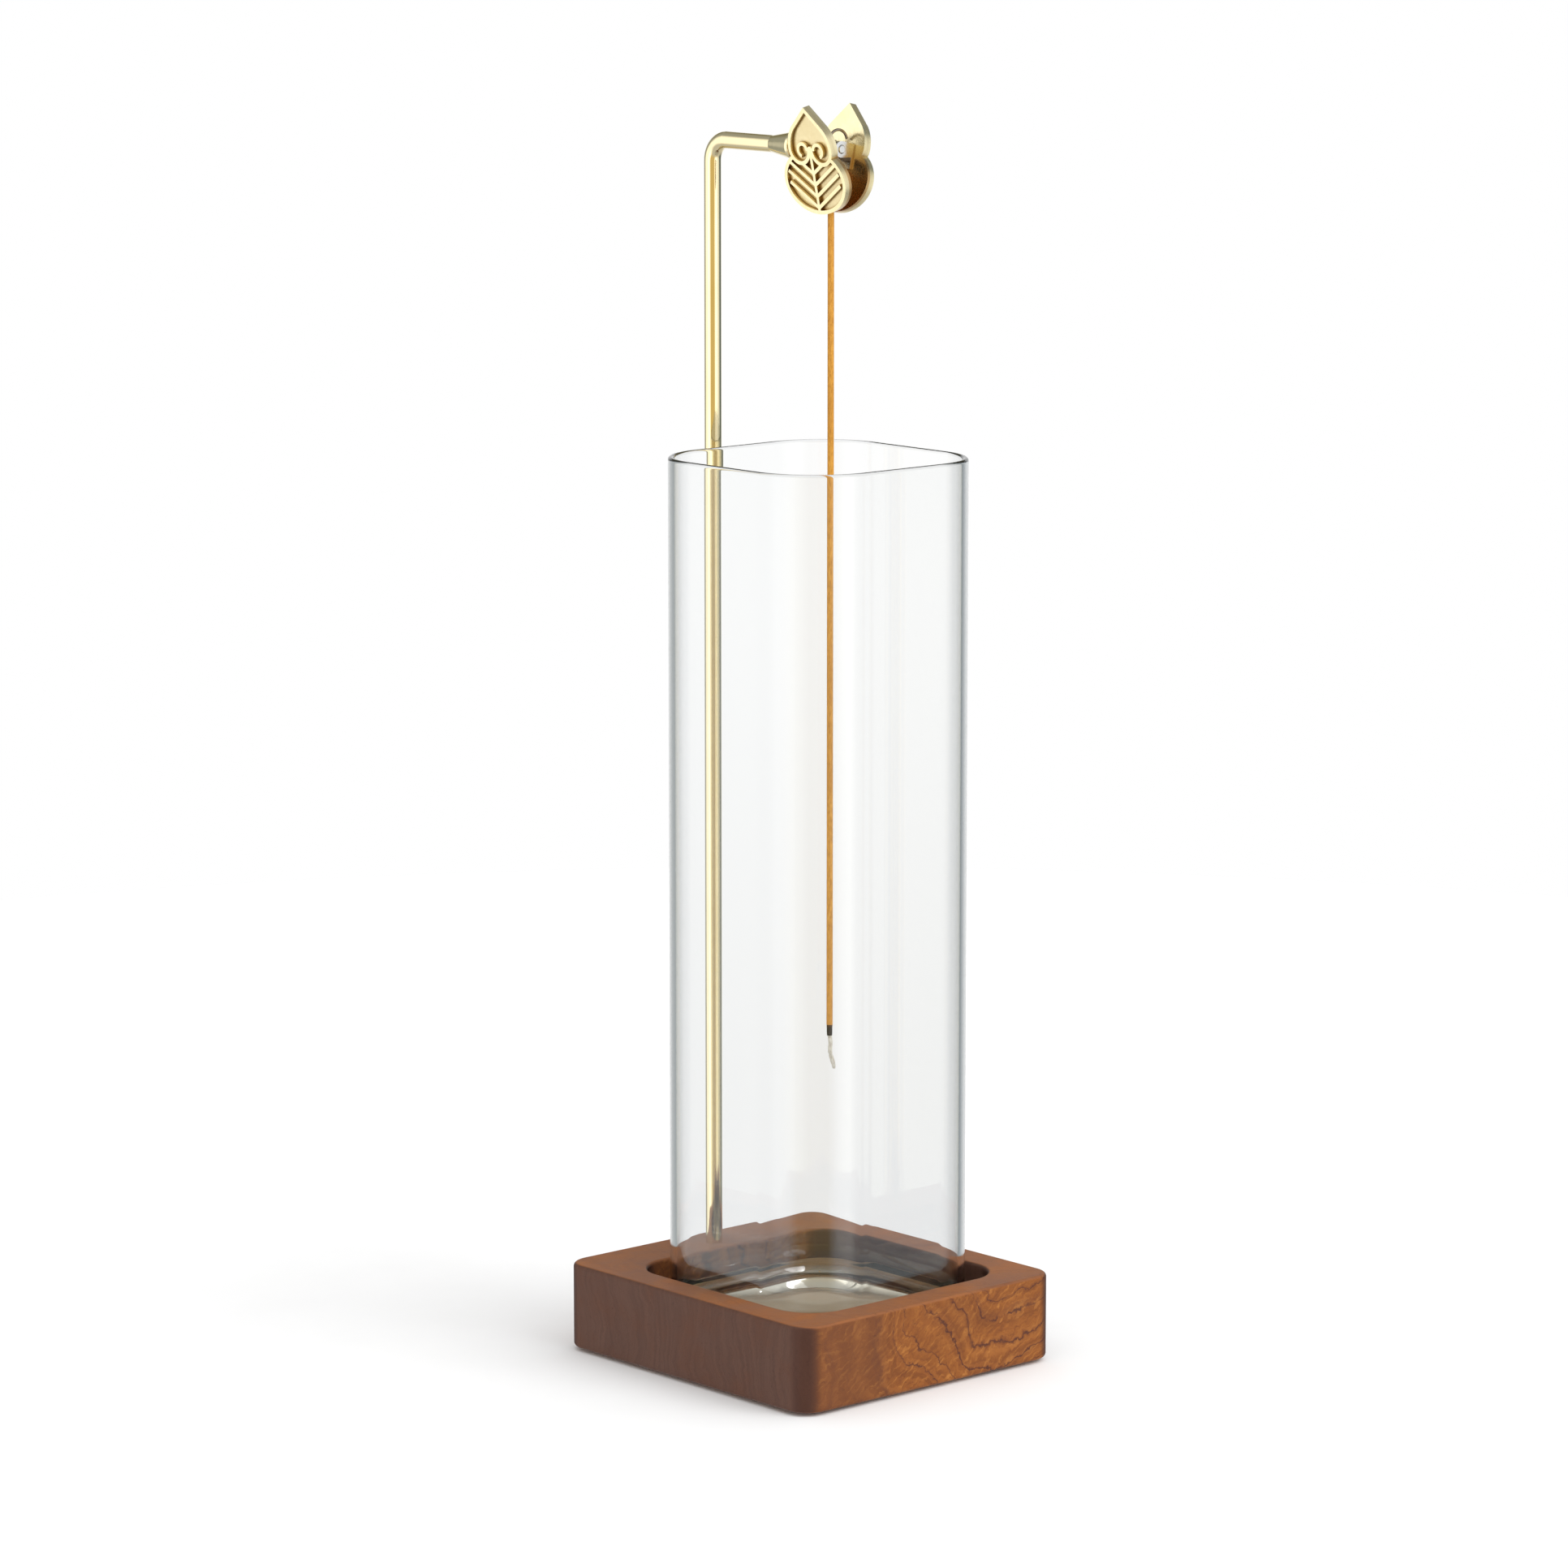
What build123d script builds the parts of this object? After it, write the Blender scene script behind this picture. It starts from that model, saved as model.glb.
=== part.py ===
from build123d import *
import os
from math import cos, radians, sin

# A hanging incense burner, in millimetres. The origin is at the middle of the underside, +Z is up,
# +X runs along the arm from the rod towards the middle, and +Y is to the arm's left.

# Feet and wooden base
PAD_R = 4.0
PAD_HEIGHT = 0.8
PAD_INSET = 10.0
BASE_LENGTH = 86.0
BASE_WIDTH = 80.0
BASE_HEIGHT = 20.4
BASE_CORNER_R = 6.2
BASE_EDGE_R = 1.0
BASE_TOP = PAD_HEIGHT + BASE_HEIGHT

# Pocket for the glass, set away from the rod
POCKET_X = 2.9
POCKET_SIDE = 62.6
POCKET_CORNER_R = 9.7
POCKET_DEPTH = 12.0
POCKET_EDGE_R = 0.8
POCKET_FLOOR = BASE_TOP - POCKET_DEPTH

# Glass chimney
GLASS_SIDE = 59.6
GLASS_CORNER_R = 17.7
GLASS_HEIGHT = 205.2
GLASS_WALL = 1.5
GLASS_FLOOR = 6.0
GLASS_FOOT_R = 2.2
GLASS_HEEL_R = 4.5
GLASS_RIM_R = 0.7
PUNT_R = 21.0
PUNT_RISE = 1.2

# Support rod and its fixing under the base
ROD_X = -34.0
ROD_R = 2.0
ROD_SOCKET_DEPTH = 12.0
BEND_R = 5.0
ARM_Z = PAD_HEIGHT + 284.9
ARM_END_X = -14.9
SPIGOT_R = 1.3
SPIGOT_LENGTH = 4.8
STUD_R = 1.5
THREAD_PITCH = 0.5
THREAD_DEPTH = 0.3
STUD_HOLE_R = 1.6
RECESS_R = 4.6
RECESS_DEPTH = 4.6
WASHER_R = 3.5
WASHER_HEIGHT = 0.5
NUT_ACROSS_FLATS = 5.5
NUT_HEIGHT = 2.4
STUD_STICKS_OUT = 0.8
THREAD_RUN_OUT = 1.0
NUT_CHAMFER = 0.3

# Spring clip, hung on a pin in line with the arm
CLIP_X = 6.6
PIN_R = 1.0
PIN_HEAD_R = 1.4
PIN_HEAD_LENGTH = 1.2
PIN_CLEARANCE = 0.05
PIN_CHAMFER = 0.2
PIN_STICKS_OUT = 0.25
PIN_HEAD_GAP = 0.1
FERRULE_TO_EAR_GAP = 0.3
FERRULE_FLARE_X = -12.4
FERRULE_R = 3.3
FERRULE_FLANGE_X = -5.2
FERRULE_NOSE_R = 2.2
FLANGE_LENGTH = 0.9
FLANGE_EDGE_R = 0.3
PLATE_TILT = 12.5
PLATE_THICKNESS = 2.0
RELIEF_DEPTH = 0.8
RIM_WIDTH = 0.9
STROKE_WIDTH = 0.8
LEAF_TIP = 11.2
LEAF_SHOULDER = (5.2, 6.4)
LEAF_LOBE_R = 3.65
LEAF_LOBE_RISE = 1.1
ROUND_LOBE_A = 10.2
ROUND_LOBE_B = 7.7
ROUND_LOBE_DROP = 6.3
FLANK_BULGE = 0.55
CURL_R = 1.5
CURL_OFFSET = 2.55
CURL_RISE = 1.0
CURL_SWEEP = 250
VEIN_PAIRS = 4
FIRST_VEIN_ROOT = -4.4
VEIN_SPACING = 2.7
VEIN_RISE = 34
GRIP_HALF_GAP = 0.8
BRACKET_THICKNESS = 0.6
REAR_EAR_OUT = 4.2
FRONT_EAR_OUT = 3.4
EAR_R = 1.9
EAR_FOOT = -1.2
WEB_TOP = 1.8
WEB_BOTTOM = -4.0
SPRING_COIL_R = 1.75
SPRING_WIRE_R = 0.33
SPRING_PITCH = 0.9
SPRING_TURNS = 4
SPRING_LEG_RISE = 1.5
SPRING_LEG_R = 2.8
SPRING_LEG_SWEEP = 168

# Incense stick, with its burnt end
STICK_X = 7.2
STICK_R = 0.75
STICK_TOP = ARM_Z - 4.6
STICK_END_CHAMFER = 0.15
CHAR_TOP = PAD_HEIGHT + 80.3
CHAR_LENGTH = 2.6
CHAR_TAPER = 3
CHAR_END_CHAMFER = 0.2
ASH_R = 0.62
ASH_LENGTH = 7.5
ASH_BEND = 1.5

os.makedirs("parts", exist_ok=True)


def finish(part, name):
    """Label a finished piece and write its STEP file."""
    part.label = name
    export_step(part, f"parts/{name}.step")


def across_arm(x):
    """The plane square to the arm at x: its X is +Y of the object and its Y is +Z."""
    return Plane(origin=(x, 0, ARM_Z), x_dir=(0, 1, 0), z_dir=(1, 0, 0))


# ---------------------------------------------------------------------------------------------
# Base: block, pads
# ---------------------------------------------------------------------------------------------
with BuildPart() as base_block:
    with BuildSketch(Plane.XY.offset(PAD_HEIGHT)):
        RectangleRounded(BASE_LENGTH, BASE_WIDTH, BASE_CORNER_R)
    extrude(amount=BASE_HEIGHT)
    outer_edges = base_block.faces().filter_by(Axis.Z).edges()
    fillet(outer_edges, BASE_EDGE_R)
    with BuildSketch(Plane.XY.offset(BASE_TOP)):
        with Locations((POCKET_X, 0)):
            RectangleRounded(POCKET_SIDE, POCKET_SIDE, POCKET_CORNER_R)
    extrude(amount=-POCKET_DEPTH, mode=Mode.SUBTRACT)
    pocket_rim = base_block.faces().filter_by(Axis.Z).sort_by(Axis.Z)[-1].inner_wires()[0].edges()
    fillet(pocket_rim, POCKET_EDGE_R)
    # Socket for the rod, hole for its stud, recess for the nut
    with BuildSketch(Plane.XY.offset(BASE_TOP)):
        with Locations((ROD_X, 0)):
            Circle(ROD_R)
    extrude(amount=-ROD_SOCKET_DEPTH, mode=Mode.SUBTRACT)
    with BuildSketch(Plane.XY.offset(PAD_HEIGHT)):
        with Locations((ROD_X, 0)):
            Circle(STUD_HOLE_R)
    extrude(amount=BASE_HEIGHT - ROD_SOCKET_DEPTH, mode=Mode.SUBTRACT)
    with BuildSketch(Plane.XY.offset(PAD_HEIGHT)):
        with Locations((ROD_X, 0)):
            Circle(RECESS_R)
    extrude(amount=RECESS_DEPTH, mode=Mode.SUBTRACT)
finish(base_block.part, "base_block")

with BuildPart() as foot_pads:
    with BuildSketch(Plane.XY):
        with GridLocations(BASE_LENGTH - 2 * PAD_INSET, BASE_WIDTH - 2 * PAD_INSET, 2, 2):
            Circle(PAD_R)
    extrude(amount=PAD_HEIGHT)
finish(foot_pads.part, "foot_pads")

# ---------------------------------------------------------------------------------------------
# Glass: a rounded-square cup with a thick floor, a punt underneath and a fire-polished rim
# ---------------------------------------------------------------------------------------------
with BuildPart() as glass_chimney:
    with BuildSketch(Plane.XY.offset(POCKET_FLOOR)):
        with Locations((POCKET_X, 0)):
            RectangleRounded(GLASS_SIDE, GLASS_SIDE, GLASS_CORNER_R)
    extrude(amount=GLASS_HEIGHT)
    foot = glass_chimney.faces().sort_by(Axis.Z)[0].edges()
    fillet(foot, GLASS_FOOT_R)
    with BuildSketch(Plane.XY.offset(POCKET_FLOOR + GLASS_FLOOR)):
        with Locations((POCKET_X, 0)):
            RectangleRounded(
                GLASS_SIDE - 2 * GLASS_WALL, GLASS_SIDE - 2 * GLASS_WALL, GLASS_CORNER_R - GLASS_WALL
            )
    extrude(amount=GLASS_HEIGHT - GLASS_FLOOR, mode=Mode.SUBTRACT)
    rim = glass_chimney.faces().filter_by(Axis.Z).sort_by(Axis.Z)[-1].edges()
    fillet(rim, GLASS_RIM_R)
    heel = glass_chimney.faces().filter_by(Axis.Z).sort_by(Axis.Z)[1].edges()
    fillet(heel, GLASS_HEEL_R)
    punt_sphere_r = (PUNT_R**2 + PUNT_RISE**2) / (2 * PUNT_RISE)
    with Locations((POCKET_X, 0, POCKET_FLOOR + PUNT_RISE - punt_sphere_r)):
        Sphere(punt_sphere_r, mode=Mode.SUBTRACT)
finish(glass_chimney.part, "glass_chimney")

# ---------------------------------------------------------------------------------------------
# Support rod, with a threaded stud below and a spigot at the arm's end; its washer and nut
# ---------------------------------------------------------------------------------------------
ROD_SHOULDER = BASE_TOP - ROD_SOCKET_DEPTH
WASHER_TOP = PAD_HEIGHT + RECESS_DEPTH
NUT_TOP = WASHER_TOP - WASHER_HEIGHT
STUD_END = NUT_TOP - NUT_HEIGHT - STUD_STICKS_OUT
THREAD_LENGTH = WASHER_TOP + THREAD_RUN_OUT - STUD_END
THREAD_RIDGES = int(THREAD_LENGTH / THREAD_PITCH)

with BuildPart() as support_rod:
    with BuildLine(Plane.XZ):
        FilletPolyline((ROD_X, ROD_SHOULDER), (ROD_X, ARM_Z), (ARM_END_X, ARM_Z), radius=BEND_R)
    with BuildSketch(Plane.XY.offset(ROD_SHOULDER)):
        with Locations((ROD_X, 0)):
            Circle(ROD_R)
    sweep()
    with BuildSketch(across_arm(ARM_END_X)):
        Circle(SPIGOT_R)
    extrude(amount=SPIGOT_LENGTH)
    # Stud: a plain neck, then thread ridges drawn as rings
    with BuildSketch(Plane.XZ):
        with BuildLine():
            ridges = [(ROD_X, STUD_END), (ROD_X + STUD_R - THREAD_DEPTH, STUD_END)]
            for ridge in range(THREAD_RIDGES):
                root_z = STUD_END + ridge * THREAD_PITCH
                ridges.append((ROD_X + STUD_R, root_z + THREAD_PITCH / 2))
                ridges.append((ROD_X + STUD_R - THREAD_DEPTH, root_z + THREAD_PITCH))
            neck_z = STUD_END + THREAD_RIDGES * THREAD_PITCH + THREAD_PITCH / 2
            ridges += [(ROD_X + STUD_R, neck_z), (ROD_X + STUD_R, ROD_SHOULDER), (ROD_X, ROD_SHOULDER)]
            Polyline(*ridges, close=True)
        make_face()
    revolve(axis=Axis((ROD_X, 0, 0), (0, 0, 1)))
finish(support_rod.part, "support_rod")

with BuildPart() as rod_washer:
    with BuildSketch(Plane.XY.offset(NUT_TOP)):
        with Locations((ROD_X, 0)):
            Circle(WASHER_R)
            Circle(STUD_HOLE_R, mode=Mode.SUBTRACT)
    extrude(amount=WASHER_HEIGHT)
finish(rod_washer.part, "rod_washer")

with BuildPart() as rod_nut:
    with BuildSketch(Plane.XY.offset(NUT_TOP)):
        with Locations((ROD_X, 0)):
            RegularPolygon(NUT_ACROSS_FLATS / 2, 6, major_radius=False)
            Circle(STUD_R, mode=Mode.SUBTRACT)
    extrude(amount=-NUT_HEIGHT)
    nut_corners = rod_nut.faces().sort_by(Axis.Z)[0].outer_wire().edges()
    chamfer(nut_corners, NUT_CHAMFER)
finish(rod_nut.part, "rod_nut")

# ---------------------------------------------------------------------------------------------
# Ferrule on the arm's spigot, and the clip's pin, which turns in the ferrule's nose
# ---------------------------------------------------------------------------------------------
NOSE_END_X = CLIP_X - REAR_EAR_OUT - FERRULE_TO_EAR_GAP
HEAD_X = ARM_END_X + SPIGOT_LENGTH + PIN_HEAD_GAP
CAVITY_END_X = HEAD_X + PIN_HEAD_LENGTH + PIN_HEAD_GAP
FLANGE_END_X = FERRULE_FLANGE_X + FLANGE_LENGTH

with BuildPart() as arm_ferrule:
    with BuildSketch(Plane.XZ):
        with BuildLine():
            Polyline(
                (ARM_END_X, ARM_Z),
                (ARM_END_X, ARM_Z + ROD_R),
                (FERRULE_FLARE_X, ARM_Z + ROD_R),
                (FERRULE_FLANGE_X, ARM_Z + FERRULE_R),
                (FLANGE_END_X, ARM_Z + FERRULE_R),
                (FLANGE_END_X, ARM_Z + FERRULE_NOSE_R),
                (NOSE_END_X, ARM_Z + FERRULE_NOSE_R),
                (NOSE_END_X, ARM_Z),
                close=True,
            )
        make_face()
    revolve(axis=Axis((0, 0, ARM_Z), (1, 0, 0)))
    with BuildSketch(across_arm(ARM_END_X)):
        Circle(SPIGOT_R)
    extrude(amount=SPIGOT_LENGTH, mode=Mode.SUBTRACT)
    with BuildSketch(across_arm(ARM_END_X + SPIGOT_LENGTH)):
        Circle(PIN_HEAD_R + PIN_CLEARANCE)
    extrude(amount=CAVITY_END_X - ARM_END_X - SPIGOT_LENGTH, mode=Mode.SUBTRACT)
    with BuildSketch(across_arm(CAVITY_END_X)):
        Circle(PIN_R + PIN_CLEARANCE)
    extrude(amount=NOSE_END_X - CAVITY_END_X, mode=Mode.SUBTRACT)
    flange_edges = arm_ferrule.edges().filter_by(GeomType.CIRCLE).group_by(lambda e: e.radius)[-1]
    fillet(flange_edges, FLANGE_EDGE_R)
finish(arm_ferrule.part, "arm_ferrule")

with BuildPart() as hinge_pin:
    with BuildSketch(across_arm(HEAD_X)):
        Circle(PIN_HEAD_R)
    extrude(amount=PIN_HEAD_LENGTH)
    with BuildSketch(across_arm(HEAD_X)):
        Circle(PIN_R)
    extrude(amount=CLIP_X + REAR_EAR_OUT + PIN_STICKS_OUT - HEAD_X)
    chamfer(hinge_pin.faces().sort_by(Axis.X)[-1].edges(), PIN_CHAMFER)
finish(hinge_pin.part, "hinge_pin")

# ---------------------------------------------------------------------------------------------
# Gourd-shaped plates. Each is drawn flat on its inner face: X across, Y up the plate with 0 level
# with the pin, Z out of the clip. The rear plate is the front one turned half round.
# ---------------------------------------------------------------------------------------------
TILT_COS = cos(radians(PLATE_TILT))
TILT_SIN = sin(radians(PLATE_TILT))
GRIP_DROP = ROUND_LOBE_DROP + ROUND_LOBE_B
PIN_TO_PLATE = (GRIP_HALF_GAP + GRIP_DROP * TILT_SIN) / TILT_COS


def inner_face(side):
    """The plane of a plate's inner face: side is -1 for the front plate and 1 for the rear one."""
    outward = Vector(0, side * TILT_COS, -TILT_SIN)
    origin = Vector(CLIP_X, 0, ARM_Z) + outward * PIN_TO_PLATE
    return Plane(origin=origin, x_dir=(-side, 0, 0), z_dir=outward)


with BuildSketch() as leaf:
    # Upper lobe: a pointed leaf whose foot is two round lobes
    with BuildLine():
        for side in (-1, 1):
            shoulder = (side * LEAF_SHOULDER[0], LEAF_SHOULDER[1])
            flank_end = (side * 2 * LEAF_LOBE_R, LEAF_LOBE_RISE)
            Line((0, LEAF_TIP), shoulder)
            SagittaArc(shoulder, flank_end, side * FLANK_BULGE)
        Line((-2 * LEAF_LOBE_R, LEAF_LOBE_RISE), (2 * LEAF_LOBE_R, LEAF_LOBE_RISE))
    make_face()
    with Locations((-LEAF_LOBE_R, LEAF_LOBE_RISE), (LEAF_LOBE_R, LEAF_LOBE_RISE)):
        Circle(LEAF_LOBE_R)

with BuildSketch() as gourd:
    add(leaf.sketch)
    with Locations((0, -ROUND_LOBE_DROP)):
        Ellipse(ROUND_LOBE_A, ROUND_LOBE_B)

with BuildSketch() as leaf_strokes:
    # Two curls that rise from the leaf's cleft and turn outwards
    with BuildLine():
        for side in (-1, 1):
            CenterArc((side * CURL_OFFSET, CURL_RISE), CURL_R, 90 + side * 90, -side * CURL_SWEEP)
    trace(line_width=STROKE_WIDTH)

with BuildSketch() as vein_strokes:
    # A middle rib and pairs of side veins that rise outwards, like a leaf's
    with Locations((0, -ROUND_LOBE_DROP)):
        Rectangle(STROKE_WIDTH, 2 * ROUND_LOBE_B)
    for pair in range(VEIN_PAIRS):
        root = (0, FIRST_VEIN_ROOT - pair * VEIN_SPACING)
        with Locations(Location(root, VEIN_RISE)):
            Rectangle(ROUND_LOBE_A, STROKE_WIDTH, align=(Align.MIN, Align.CENTER))
        with Locations(Location(root, -VEIN_RISE)):
            Rectangle(ROUND_LOBE_A, STROKE_WIDTH, align=(Align.MAX, Align.CENTER))

with BuildSketch() as leaf_recess:
    add(leaf.sketch)
    offset(amount=-RIM_WIDTH, mode=Mode.REPLACE)
    add(leaf_strokes.sketch, mode=Mode.SUBTRACT)

with BuildSketch() as round_recess:
    with Locations((0, -ROUND_LOBE_DROP)):
        Ellipse(ROUND_LOBE_A - RIM_WIDTH, ROUND_LOBE_B - RIM_WIDTH)
    add(leaf.sketch, mode=Mode.SUBTRACT)
    add(vein_strokes.sketch, mode=Mode.SUBTRACT)


def gourd_plate(side):
    """One casting: a gourd outline with a raised rim and strokes on its outer face."""
    inner = inner_face(side)
    with BuildPart() as plate:
        with BuildSketch(inner):
            add(gourd.sketch)
        extrude(amount=PLATE_THICKNESS)
        with BuildSketch(inner.offset(PLATE_THICKNESS)):
            add(leaf_recess.sketch)
            add(round_recess.sketch)
        extrude(amount=-RELIEF_DEPTH, mode=Mode.SUBTRACT)
    return plate.part


def hinge_bracket(side, ear_out):
    """A folded strip soldered to a plate's inner face: a web with two ears that reach the pin."""
    inner = inner_face(side)
    with BuildPart() as bracket:
        with BuildSketch(inner):
            with Locations((0, (WEB_TOP + WEB_BOTTOM) / 2)):
                Rectangle(2 * ear_out, WEB_TOP - WEB_BOTTOM)
        extrude(amount=-BRACKET_THICKNESS)
        for end in (-1, 1):
            # In an ear's plane X runs out of the clip and Y up the plate
            ear_middle = inner.from_local_coords(Vector(end * (ear_out - BRACKET_THICKNESS / 2), 0, 0))
            with BuildSketch(Plane(origin=ear_middle, x_dir=inner.z_dir, z_dir=-inner.x_dir)):
                with BuildLine():
                    Line((0, WEB_TOP), (0, EAR_FOOT))
                    CenterArc((-PIN_TO_PLATE, 0), EAR_R, 0, 360)
                make_hull()
                with Locations((-PIN_TO_PLATE, 0)):
                    Circle(PIN_R + PIN_CLEARANCE, mode=Mode.SUBTRACT)
            extrude(amount=BRACKET_THICKNESS / 2, both=True)
    return bracket.part


for side, jaw, ear_out in ((-1, "front", FRONT_EAR_OUT), (1, "rear", REAR_EAR_OUT)):
    finish(gourd_plate(side), f"{jaw}_plate")
    finish(hinge_bracket(side, ear_out), f"{jaw}_bracket")

# ---------------------------------------------------------------------------------------------
# Torsion spring: a coil round the pin, with a hooked leg for each plate
# ---------------------------------------------------------------------------------------------
COIL_LENGTH = SPRING_PITCH * SPRING_TURNS
REAR_LEG_X = CLIP_X + COIL_LENGTH / 2
FRONT_LEG_X = CLIP_X - COIL_LENGTH / 2

with BuildPart() as torsion_spring:
    # The coil runs from the foot of the rear leg's turn to the foot of the front leg's
    with BuildLine() as coil:
        Helix(
            SPRING_PITCH,
            COIL_LENGTH,
            SPRING_COIL_R,
            center=(REAR_LEG_X, 0, ARM_Z),
            direction=(-1, 0, 0),
            lefthand=True,
        )
    with BuildSketch(Plane(origin=coil.line @ 0, z_dir=coil.line % 0)):
        Circle(SPRING_WIRE_R)
    sweep(is_frenet=True)
    # Each leg: a last quarter turn, straight up, then hooked over the pin towards its own plate
    for side, leg_x in ((1, REAR_LEG_X), (-1, FRONT_LEG_X)):
        knee_y = -side * SPRING_COIL_R
        with BuildLine(across_arm(leg_x)):
            CenterArc((0, 0), SPRING_COIL_R, 270, -side * 90)
            Line((knee_y, 0), (knee_y, SPRING_LEG_RISE))
            hook_middle = (knee_y + side * SPRING_LEG_R, SPRING_LEG_RISE)
            CenterArc(hook_middle, SPRING_LEG_R, 90 + side * 90, -side * SPRING_LEG_SWEEP)
        with BuildSketch(Plane(origin=(leg_x, 0, ARM_Z - SPRING_COIL_R), z_dir=(0, -side, 0))):
            Circle(SPRING_WIRE_R)
        sweep()
finish(torsion_spring.part, "torsion_spring")

# ---------------------------------------------------------------------------------------------
# Incense stick: unburnt stick, charred end, and the ash that still hangs from it
# ---------------------------------------------------------------------------------------------
with BuildPart() as incense_stick:
    with BuildSketch(Plane.XY.offset(CHAR_TOP)):
        with Locations((STICK_X, 0)):
            Circle(STICK_R)
    extrude(amount=STICK_TOP - CHAR_TOP)
    chamfer(incense_stick.faces().sort_by(Axis.Z)[-1].edges(), STICK_END_CHAMFER)
finish(incense_stick.part, "incense_stick")

with BuildPart() as charred_tip:
    with BuildSketch(Plane.XY.offset(CHAR_TOP)):
        with Locations((STICK_X, 0)):
            Circle(STICK_R)
    extrude(amount=-CHAR_LENGTH, taper=CHAR_TAPER)
    chamfer(charred_tip.faces().sort_by(Axis.Z)[0].edges(), CHAR_END_CHAMFER)
finish(charred_tip.part, "charred_tip")

CHAR_END = CHAR_TOP - CHAR_LENGTH
with BuildPart() as ash_tail:
    with BuildLine(Plane.XZ):
        ash_r = (ASH_LENGTH**2 + ASH_BEND**2) / (2 * ASH_BEND)
        RadiusArc((STICK_X, CHAR_END), (STICK_X + ASH_BEND, CHAR_END - ASH_LENGTH), ash_r)
    with BuildSketch(Plane.XY.offset(CHAR_END)):
        with Locations((STICK_X, 0)):
            Circle(ASH_R)
    sweep()
finish(ash_tail.part, "ash_tail")
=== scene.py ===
"""A hanging incense burner: a rosewood base, a square glass chimney standing in it, a bent brass rod,
and a gourd-shaped spring clip that holds a burning stick inside the glass."""

import math

import bmesh
import bpy
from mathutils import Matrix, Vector, noise


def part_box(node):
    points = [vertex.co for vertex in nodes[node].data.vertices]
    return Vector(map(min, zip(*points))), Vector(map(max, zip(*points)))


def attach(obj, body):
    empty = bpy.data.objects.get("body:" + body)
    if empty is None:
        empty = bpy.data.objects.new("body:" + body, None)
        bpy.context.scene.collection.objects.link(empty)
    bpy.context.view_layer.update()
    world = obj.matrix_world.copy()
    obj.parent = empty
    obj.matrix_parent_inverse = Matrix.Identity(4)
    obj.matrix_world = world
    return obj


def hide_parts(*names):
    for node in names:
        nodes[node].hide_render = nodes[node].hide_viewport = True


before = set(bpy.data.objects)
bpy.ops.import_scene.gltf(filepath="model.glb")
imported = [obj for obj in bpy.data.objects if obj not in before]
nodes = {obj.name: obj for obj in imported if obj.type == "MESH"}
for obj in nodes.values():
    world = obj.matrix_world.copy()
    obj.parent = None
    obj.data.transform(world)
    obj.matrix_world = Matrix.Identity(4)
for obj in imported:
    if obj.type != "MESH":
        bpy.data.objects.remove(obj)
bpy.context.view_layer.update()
MM = 0.001

# ---------------------------------------------------------------- driving values

# glass chimney
GLASS_CORNER = 17.7 * MM
GLASS_WALL = 1.5 * MM
GLASS_FLOOR = 6.0 * MM
FOOT_FILLET = 2.2 * MM
HEEL_FILLET = 4.5 * MM
RIM_FILLET = 0.7 * MM
PUNT_RISE = 1.2 * MM
GLASS_SIDES = 384

# clip plates
PLATE_TILT = math.radians(12.5)
PLATE_RELIEF = 0.8 * MM
CREVICE_SHADE_REACH = 1.2 * MM
# painted reflection and shade: the plates' inner faces are painted brown below the pin, fading in between
# these heights
PAINTED_REFLECTION_STARTS = 1.0 * MM                 # above the pin
PAINTED_REFLECTION_FULL = 3.5 * MM                   # below the pin

# burnt end of the stick
CHAR_TAPER = 0.90
CHAR_CRUMBLE = 0.10
CHAR_SEED = 1.7
CHAR_RINGS = 25
ASH_R = 0.60 * MM
ASH_CRUMBLE = 0.32
ASH_SEED = 7.3
ASH_RINGS = 49
ASH_CURL = 1.7
ASH_WOBBLE = 0.10 * MM
BURNT_SIDES = 28
CRUMBLE_SCALE = 2600

# camera
CAMERA_AZIMUTH = math.radians(47.99)
CAMERA_DISTANCE = 1.4557
CAMERA_HEIGHT = 0.3924
CAMERA_AIM = (-0.00399, -0.00443, 0.1372)
CAMERA_LENS = 145.27
CAMERA_SENSOR = 36.0


# ---------------------------------------------------------------- node helpers


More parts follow.
